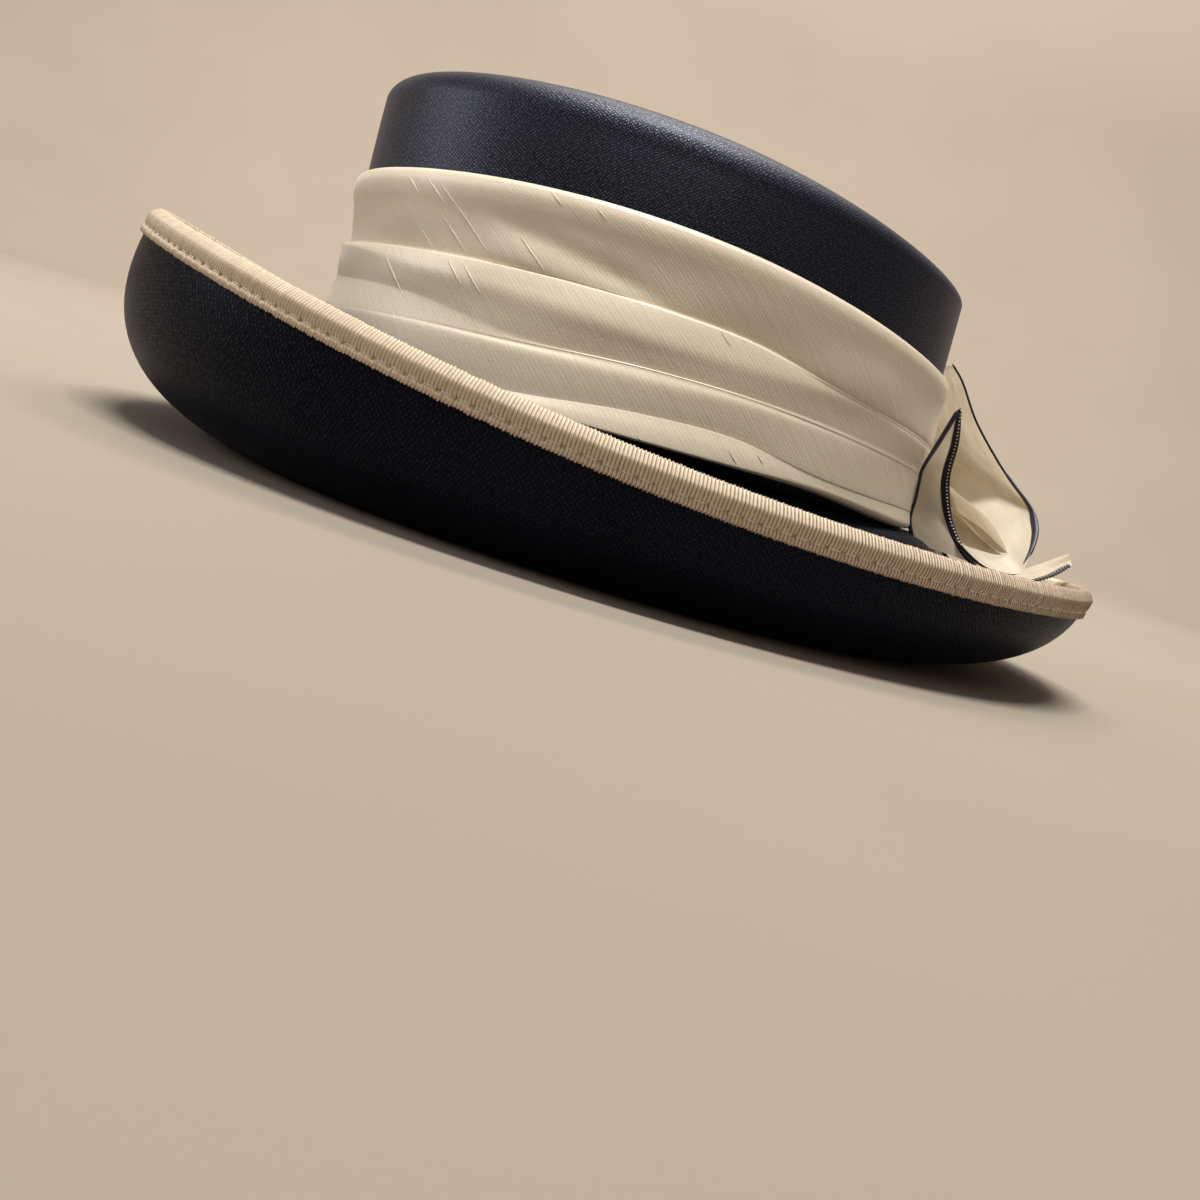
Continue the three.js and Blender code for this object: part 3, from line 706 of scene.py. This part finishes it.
def on_rim(length, down, off, swell_out=0.0, swell_up=np.zeros(1)):
    """A place by the rim: its length round from the back, its distance below the rim and off the brim."""
    angle = np.interp(np.mod(length, RIM_LENGTH), RIM_LENGTHS, RIM_ANGLES)
    along = along_below_rim(down, angle)
    out = surface_normal(brim_surface, along, angle, CURL_START, CURL_END)
    up = unit(ring_point(BRIM_RIM, angle) - brim_surface(np.full_like(angle, BELOW_RIM), angle))
    return brim_surface(along, angle) + out * (off + swell_out)[:, None] + up * swell_up[:, None]


def make_rim_ribbon(ribbon, thread):
    """The grosgrain ribbon folded over the rim, rib by rib, and the row of stitches that holds it."""
    ribs = round(RIM_LENGTH / RIB_PITCH)
    section = np.array(RIBBON_SECTION, float)
    chance = np.random.default_rng(SEED)
    rib_size = 1 + RIB_UNEVENNESS * chance.standard_normal(ribs)
    stitches = round(RIM_LENGTH / STITCH_PITCH)
    pitch = RIM_LENGTH / stitches

    def surface(u, v):
        down, off, swell_out, swell_up = section[np.rint(v * (len(section) - 1)).astype(int)].T
        phase = u * ribs
        rib = np.floor(phase + 1e-6).astype(int) % ribs
        length = u * RIM_LENGTH
        turn = turn_of(np.interp(length, RIM_LENGTHS, RIM_ANGLES))
        worn = 1 - RIB_WORN_SHARE * smooth_step(turn, RIB_WORN_FROM, RIB_WORN_TO)
        swell = RIB_SWELL * worn * rib_size[rib] * np.abs(np.sin(np.pi * phase)) ** 0.8
        from_hole = np.abs(np.mod(length / pitch + 0.5, 1.0) - 0.5) * pitch
        at_seam = np.exp(-((down - STITCH_DOWN) / SEAM_HALF_WIDTH) ** 2) * (off > 0)
        off = off - STITCH_DENT * np.exp(-(from_hole / STITCH_HOLE) ** 2) * at_seam
        return on_rim(length, down, off, swell * swell_out, swell * swell_up)

    across = np.concatenate([[0.0], np.cumsum(np.linalg.norm(np.diff(section[:, :2], axis=0), axis=1))])

    def unroll(u, v):
        return u * RIM_LENGTH, across[np.rint(v * (len(section) - 1)).astype(int)]

    bm = bmesh.new()
    lay_grid(bm, surface, ribs * RIB_COLUMNS, len(section) - 1, unroll)
    bound = make_piece("rim_ribbon", bm, ribbon, "cream_ribbon", "rim_binding")

    bm = bmesh.new()
    for i in range(stitches):
        lengths = (i + 0.5) * pitch + STITCH_LENGTH * np.linspace(-0.5, 0.5, 4)
        down = np.full_like(lengths, STITCH_DOWN)
        middles = on_rim(lengths, down, np.full_like(lengths, STITCH_OFF))
        outward = on_rim(lengths, down, np.full_like(lengths, STITCH_OFF + 1.0)) - middles
        sideways = unit(np.cross(np.gradient(middles, axis=0), outward))
        lay_thread(bm, middles, outward * STITCH_RADIUS, sideways * STITCH_RADIUS, 5, 5)
    seam = make_piece("rim_stitches", bm, thread, "cream_ribbon")


def station_at(angle):
    """The band's station values at angles round the hat, on smooth curves through the table."""
    turns, *values = np.array(BAND_STATIONS, float).T
    turn = turn_of(angle)
    first = np.clip(np.searchsorted(turns, turn, side="right") - 1, 0, len(turns) - 2)
    step = turns[first + 1] - turns[first]
    t = (turn - turns[first]) / step
    read = []
    for column in values:
        slope = np.gradient(column, turns)
        slope[[0, -1]] = 0.0
        level = column[first] + (column[first + 1] - column[first]) * t * t * (3 - 2 * t)
        lean = slope[first] * t * (1 - t) ** 2 - slope[first + 1] * t * t * (1 - t)
        read.append(level + lean * step)
    return BandStation(turn, *read)


def band_lines(angle):
    """The band's section at angles round the hat: heights and distances off the crown of its lines, from
    the lower edge up the folded face, over the rolled top and down the lining."""
    s = station_at(angle)
    crisp = smooth_step(s.turn, PLEATS_SOFT_FROM, PLEATS_CRISP_TO)
    lining = np.full_like(angle, LINING_OUT)
    lines = [
        (s.edge, lining + 0.4),
        (s.edge + 0.003, s.low_belly_out - 1.4),
        (s.edge + 0.01, s.low_belly_out - 0.3),
        (s.low_belly, s.low_belly_out),
        ((s.low_belly + s.low_fold) / 2, (s.low_belly_out + s.low_fold_out) / 2 + 0.2 * crisp),
        (s.low_fold, s.low_fold_out),
        (s.low_fold + 0.012, s.low_fold_out - 0.25 * crisp),
        ((s.low_fold + s.middle_belly) / 2, (s.low_fold_out + s.middle_belly_out) / 2),
        (s.middle_belly, s.middle_belly_out),
        (s.middle_fold, s.middle_fold_out),
        (s.middle_fold + 0.01, s.middle_fold_out - 0.12 * crisp),
        ((s.middle_fold + s.valley) / 2 + 0.005, (s.middle_fold_out + s.valley_out) / 2 - 0.1 * crisp),
        (s.valley, s.valley_out),
        (s.valley + 0.02, s.valley_out - 0.07),
        ((s.valley + s.upper_belly) / 2, s.valley_out * 0.35 + s.upper_belly_out * 0.65),
        (s.upper_belly, s.upper_belly_out),
        ((s.upper_belly + s.upper_fold) / 2, (s.upper_belly_out + s.upper_fold_out) / 2 + 0.25 * crisp),
        (s.upper_fold - 0.01, s.upper_fold_out + 0.35 * crisp),
        (s.upper_fold, s.upper_fold_out - 0.1 * crisp),
        (s.upper_fold + 0.006, s.foot_out),
        (s.upper_fold + 0.05, s.foot_out + 0.1),
        ((s.upper_fold + s.top) / 2, s.panel_out),
        (s.top - 0.13, s.roll_out * 0.8 + s.panel_out * 0.2),
        (s.top - 0.07, s.roll_out),
        (s.top - 0.03, s.roll_out - 0.35),
        (s.top - 0.01, s.roll_out - 0.8),
        (s.top, s.roll_out - 1.4),
        (s.top, lining + 0.3),
        (s.top - 0.08, lining),
        ((s.top + s.edge) / 2, lining),
        (s.edge + 0.08, lining),
        (s.edge, lining + 0.4),
    ]
    return [np.stack(column, axis=1) for column in zip(*lines)]


def drape(angle, height):
    """The slight unevenness of the hand-draped cloth, in millimetres, which fades towards both edges."""
    wave = sum(w.depth * np.sin(w.count * angle + w.lean * height + w.start) for w in DRAPE_WAVES)
    return wave * np.sin(np.pi * np.clip(height, 0, 1)) ** 2


def panel_crease(angle, height, fold):
    """A slanting crease in the smooth upper panel at both sides, below which the cloth leans outwards."""
    turn = turn_of(angle)
    crease = CREASE_HEIGHT - CREASE_FALL * (turn - CREASE_TURN)
    window = smooth_step(turn, *CREASE_IN) * smooth_step(turn, *CREASE_OUT)
    lean = CREASE_LEAN * smooth_step(height, crease, crease - CREASE_LEAN_HEIGHT)
    groove = CREASE_GROOVE * np.exp(-((height - crease) / CREASE_GROOVE_WIDTH) ** 2)
    return (lean - groove) * window * smooth_step(height, fold - 0.002, fold + 0.01)


def on_band(angle, height, out):
    """Places at a height on the band's part of the crown, a distance off it."""
    wall = BAND_FOOT_ON_WALL + (BAND_TOP_ON_WALL - BAND_FOOT_ON_WALL) * height
    normal = surface_normal(crown_wall, wall, angle, -0.1, 1.0)
    return crown_wall(wall, angle) + normal * out[:, None]


def on_lines(values, along):
    """Reads each place's own row of line values at a share from 0 to 1 along it."""
    ends = [2 * values[:, :1] - values[:, 1:2], values, 2 * values[:, -1:] - values[:, -2:-1]]
    padded = np.concatenate(ends, axis=1)
    place = along * (values.shape[1] - 1)
    first = np.minimum(place.astype(int), values.shape[1] - 2)
    each = np.arange(len(values))
    return smooth_curve(*(padded[each, first + k] for k in range(4)), place - first)


def make_band(silk, thread):
    """The draped band: pleats whose folds look up, a rolled top edge and a lining against the crown."""
    lines = band_lines(np.zeros(1))[0].shape[1] - 1
    folded = 1 - LINING_LINES / lines

    def section(u, v):
        angle = angle_of(u)
        heights, outs = band_lines(angle)
        height = on_lines(heights, v)
        out = np.maximum(on_lines(outs, v), LINING_OUT)
        uneven = drape(angle, height) + panel_crease(angle, height, station_at(angle).upper_fold)
        return angle, height, out + np.where(v < folded, uneven, 0.0)

    def unroll(u, v):
        _, height, _ = section(u, v)
        return u * CROWN_GIRTH, height * BAND_WIDTH

    bm = bmesh.new()
    lay_grid(bm, lambda u, v: on_band(*section(u, v)), BAND_COLUMNS, BAND_ROWS_PER_LINE * lines, unroll)
    band = make_piece("band_silk", bm, silk, "cream_silk", "band")

    bm = bmesh.new()
    chance = np.random.default_rng(SEED)
    far_side = [Slub(-turn, chance.uniform(0.1, 0.95), chance.uniform(5, 20))
                for turn in np.arange(15.0, 165.0, 9.0)]
    share = np.linspace(0, folded, 400)
    for slub in SLUBS + far_side:
        drop = slub.length * np.linspace(0, 1, 9)
        height = np.clip(slub.height - drop * math.cos(SLUB_LEAN) / BAND_WIDTH, -0.02, 0.97)
        sideways = drop * math.sin(SLUB_LEAN) / CROWN_MEAN_RADIUS
        angle = np.mod(np.pi + np.radians(slub.turn) + sideways, 2 * np.pi)
        out = []
        for one_angle, one_height in zip(angle, height):
            _, heights, outs = section(np.full_like(share, one_angle / (2 * np.pi)), share)
            # Where layers lie over each other, the outermost one carries the slub.
            out.append(outs[np.argmin(np.abs(heights - one_height) - 0.001 * outs)])
        out = np.array(out)
        middles = on_band(angle, height, out)
        outward = on_band(angle, height, out + 1.0) - middles
        across = unit(np.cross(np.gradient(middles, axis=0), outward))
        lay_thread(bm, middles, outward * SLUB_RADIUS, across * SLUB_RADIUS, 14, 5, blunt=0.5)
    slubs = make_piece("band_slubs", bm, thread, "cream_silk")


def ribbon_surface(rows, drawn=0.0):
    """The surface of a bow ribbon whose rows give its side view, its two edges and its middle; its far edge
    is drawn in towards the straight line between its sewn ends, as a petal is."""
    first, last = rows[0], rows[-1]
    start = smooth_step(0.0, PETAL_START, 1.0)

    def surface(length, width):
        x, z, near, far, middle = smooth_rows(rows, length).T
        y = near + (far - near) * width
        share = drawn * (smooth_step(width, PETAL_START, 1.0) - start) / (1 - start)
        x = x + (first.x + (last.x - first.x) * length - x) * share
        z = z + (first.z + (last.z - first.z) * length - z) * share
        return np.stack([x + middle * 4 * width * (1 - width), y, z], axis=-1)

    return surface


def leaf_surface(length, width):
    """The surface of the near tail, from its foot to its tip and from its left edge to its right one."""
    row = smooth_rows(BOW_LEAF, length)
    left, right = row[:, :3], row[:, 3:]
    place = left + (right - left) * width[:, None]
    hollow = np.sin(np.pi * width) * smooth_step(length, 0.1, 0.45) * smooth_step(length, 1.0, 0.7)
    place[:, 1] += LEAF_HOLLOW * hollow
    return place


def gathered(surface, folds, depth, reach):
    """A ribbon's surface with soft gathers that fade away from the ends where it is sewn down."""

    def pleated(length, width):
        normal = surface_normal(surface, np.clip(length, 0.002, 0.998), width, 0.0, 1.0)
        fade = np.exp(-np.minimum(length, 1 - length) / reach)
        wave = depth * fade * np.cos(2 * np.pi * folds * width) * np.sin(np.pi * width)
        return surface(length, width) + normal * wave[:, None]

    return pleated


def tilted(surface, rise):
    """A ribbon's surface whose far edge rises towards its tip."""

    def leaning(length, width):
        place = surface(length, width)
        place[:, 2] += rise * width * smooth_step(length, 0.5, 1.0)
        return place

    return leaning


def make_bow_ribbon(name, node_name, surface, material, flat, rests_on, area=None):
    """A ribbon of the bow, laid out by its flat size, and returned with that size, what it rests on and its
    area.
    """
    bm = bmesh.new()
    lay_grid(bm, surface, 120, 40, lambda u, v: (u * flat[1] / MM, v * flat[0] / MM))
    piece = make_piece(name, bm, material, "cream_silk", node_name)
    return piece, flat, rests_on, area


def edge_frame(surface, width, lengths):
    """Places along one edge of a ribbon, with the directions across it and out of its face."""
    widths = np.full_like(lengths, width)
    places = surface(lengths, widths)
    inward = surface(lengths, np.full_like(lengths, abs(width - 0.02))) - places
    along = unit(np.gradient(places, axis=0))
    across = unit(inward - along * np.sum(inward * along, axis=1, keepdims=True))
    return places, across, np.cross(along, across)


def make_edging(name, surface, width, material, nodes, halves, turned_under=None):
    """A narrow binding folded over one edge of a bow ribbon. Its half widths are given at places along it,
    and between two such places it may turn under the ribbon."""
    lengths = np.linspace(0, 1, 90)
    places, across, face = edge_frame(surface, width, lengths)
    half = np.interp(lengths, *zip(*halves))[:, None]
    thick = np.minimum(half, EDGING_HALF_THICKNESS)
    middles = places + across * (half - EDGING_OVERHANG)
    if turned_under:
        tuck = across * EDGING_TUCK_IN + face * EDGING_TUCK_UNDER
        middles += tuck * smooth_step(lengths, *turned_under)[:, None]
    bm = bmesh.new()
    lay_thread(bm, middles, across * half, face * thick, 140, 10, blunt=0.02)
    return make_piece(name, bm, material, "navy_edging", *nodes)


def make_dots(name, surface, width, material, span=(0.0, 1.0)):
    """The row of small pale stitches along a bound edge, on both of its faces."""
    lengths = np.linspace(*span, 200)
    places, _, _ = edge_frame(surface, width, lengths)
    along = np.concatenate([[0.0], np.cumsum(np.linalg.norm(np.diff(places, axis=0), axis=1))])
    bm = bmesh.new()
    for distance in np.arange(DOT_PITCH, along[-1], DOT_PITCH):
        ends = np.interp(distance + np.array([-DOT_HALF_LENGTH, 0.0, DOT_HALF_LENGTH]), along, lengths)
        middles, inward, out = edge_frame(surface, width, ends)
        for side in (-1, 1):
            lay_thread(bm, middles + inward * DOT_INSET + out * side * DOT_LIFT, out * DOT_RADIUS,
                       inward * DOT_RADIUS, 3, 5, blunt=0.5)
    return make_piece(name, bm, material, "navy_edging")


def make_bow(silk, edging, thread):
    """The bow: a large loop, a smaller one inside it, and two tails with bound and stitched edges."""
    loop = gathered(ribbon_surface(BOW_LOOP, drawn=0.8), folds=3, depth=1.6, reach=0.2)
    inner = gathered(ribbon_surface(BOW_INNER_LOOP, drawn=0.85), folds=2, depth=0.8, reach=0.3)
    back = tilted(gathered(ribbon_surface(BOW_TAIL_BACK), folds=2, depth=0.8, reach=0.15), rise=3.2)
    sheets = [
        make_bow_ribbon("bow_loop_silk", "bow_loop", loop, silk, (0.065, 0.11), "band_silk", 0.0043),
        make_bow_ribbon("bow_inner_loop_silk", "bow_inner_loop", inner, silk, (0.048, 0.07), "band_silk",
                        0.0014),
        make_bow_ribbon("bow_tail_near_silk", "bow_tail_near", leaf_surface, silk, (0.016, 0.046),
                        "band_silk"),
        make_bow_ribbon("bow_tail_back_silk", "bow_tail_back", back, silk, (0.03, 0.07), "brim_cloth"),
    ]
    trims = {
        "bow_loop_silk": [
            make_edging("bow_loop_edge_near", loop, 0.0, edging, ["bow_loop_edging_near"],
                        [(0, 0.35), (0.28, 0.4), (0.36, 0.8), (0.44, 1.4), (0.52, 1.2), (0.6, 0.5),
                         (1, 0.4)], turned_under=(0.55, 0.63)),
            make_edging("bow_loop_edge_far", loop, 1.0, edging, ["bow_loop_edging_far"],
                        [(0, 0.5), (1, 0.5)]),
        ],
        "bow_inner_loop_silk": [],
        "bow_tail_near_silk": [
            make_edging("bow_tail_near_edge", leaf_surface, 1.0, edging, ["bow_tail_near_edging"],
                        [(0, 1.2), (0.5, 1.5), (0.85, 1.3), (1, 0.8)]),
            make_edging("bow_tail_near_edge_left", leaf_surface, 0.0, edging, [],
                        [(0, 0.8), (0.3, 0.55), (0.6, 0.9), (0.8, 1.5), (1, 0.9)]),
            make_dots("bow_tail_near_dots", leaf_surface, 1.0, thread),
        ],
        "bow_tail_back_silk": [
            make_edging("bow_tail_back_edge", back, 0.0, edging, ["bow_tail_back_edging"],
                        [(0, 0.9), (0.6, 1.1), (0.8, 1.6), (1, 2.2)]),
            make_dots("bow_tail_back_dots", back, 0.0, thread, span=(0.4, 1.0)),
        ],
    }


def make_stage(paint):
    """A pale floor that sweeps up into a round cove, so that no horizon shows from any side."""
    turns = np.linspace(0, math.pi / 2, 13)
    bend = [(COVE_FLOOR + COVE_BEND * math.sin(a), COVE_BEND * (1 - math.cos(a))) for a in turns]
    section = [(0.0, 0.0)] + bend + [(COVE_FLOOR + COVE_BEND, COVE_TOP)]
    bm = bmesh.new()
    profile = [bm.verts.new((reach, 0, height)) for reach, height in section]
    edges = [bm.edges.new(pair) for pair in zip(profile, profile[1:])]
    bmesh.ops.spin(bm, geom=profile + edges, cent=(0, 0, 0), axis=(0, 0, 1), angle=2 * math.pi,
                   steps=96, use_merge=True)
    close_seams(bm)
    bmesh.ops.reverse_faces(bm, faces=bm.faces)
    cove = new_object("studio_cove", bm, paint)


def make_camera():
    """The camera, turned by its yaw and pitch and then rolled about the way it looks."""
    yaw, pitch, roll = CAMERA_YAW, CAMERA_PITCH, CAMERA_ROLL
    look = Vector((math.sin(yaw) * math.cos(pitch), math.cos(yaw) * math.cos(pitch), math.sin(pitch)))
    level = Vector((math.cos(yaw), -math.sin(yaw), 0.0))
    rise = level.cross(look)
    right = level * math.cos(roll) + rise * math.sin(roll)
    up = rise * math.cos(roll) - level * math.sin(roll)
    data = bpy.data.cameras.new("camera")
    data.sensor_width = CAMERA_SENSOR
    data.lens = CAMERA_LENS
    data.clip_start = 0.01
    camera = bpy.data.objects.new("camera", data)
    turned = Matrix((right, up, -look)).transposed().to_4x4()
    camera.matrix_world = Matrix.Translation(CAMERA_PLACE) @ turned
    bpy.context.scene.collection.objects.link(camera)
    bpy.context.scene.camera = camera


def make_lights():
    """A long lamp overhead, a tall soft one by the hat's front, a broad fill, a wash on the cove behind
    and a dim room."""
    for lamp in LAMPS:
        data = bpy.data.lights.new(lamp.name, "AREA")
        data.energy = lamp.watts
        data.color = linear(lamp.colour)[:3]
        data.shape = "RECTANGLE"
        data.size = lamp.width
        data.size_y = lamp.depth
        light = bpy.data.objects.new(lamp.name, data)
        turned = (Vector(lamp.aim) - Vector(lamp.place)).to_track_quat("-Z", "Y").to_matrix().to_4x4()
        light.matrix_world = Matrix.Translation(lamp.place) @ turned
        bpy.context.scene.collection.objects.link(light)
    world = bpy.data.worlds.new("room")
    world.use_nodes = True
    background = world.node_tree.nodes["Background"]
    background.inputs["Color"].default_value = linear(ROOM_COLOUR)
    background.inputs["Strength"].default_value = ROOM_STRENGTH
    bpy.context.scene.world = world
    bpy.context.scene.view_settings.view_transform = "Standard"


make_camera()
sewing_thread = cream_thread()
make_crown(navy_satin("navy_satin_cloth", gloss=0.5))
make_brim(navy_satin("navy_satin_underbrim", gloss=0.08), navy_satin("navy_satin_upper_brim", gloss=0.25))
make_rim_ribbon(cream_grosgrain(), sewing_thread)
make_band(cream_shantung(), sewing_thread)
make_bow(cream_bow_ribbon(), navy_edging(), sewing_thread)
make_stage(pale_floor())
make_lights()
